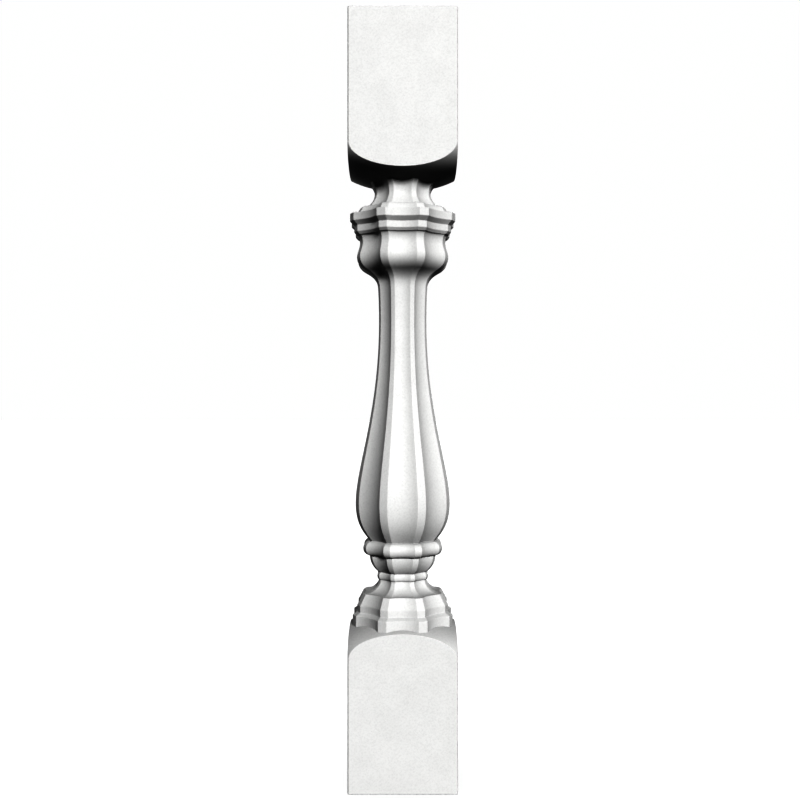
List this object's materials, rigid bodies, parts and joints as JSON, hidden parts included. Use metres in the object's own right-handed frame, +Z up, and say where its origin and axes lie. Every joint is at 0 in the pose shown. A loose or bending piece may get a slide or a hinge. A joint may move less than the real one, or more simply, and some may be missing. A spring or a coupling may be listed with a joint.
{
  "type": "stone baluster",
  "caption": "Slender stone baluster: square blocks at foot and head with arched shoulders, and a fluted, turned shaft with a belly, ring, bead, capital and stepped plinth.",
  "frame": {"origin": "middle of the square underside, on the surface that the baluster stands on", "axes": "+Z up along the shaft, -Y out of the front face, +X to the right seen from the front"},
  "size_m": [0.126, 0.126, 0.9],
  "materials": {
    "stone": "fine-grained pale stone, honed smooth, with eased edges"
  },
  "bodies": {
    "root": {"baluster": "stone"}
  },
  "joints": []
}
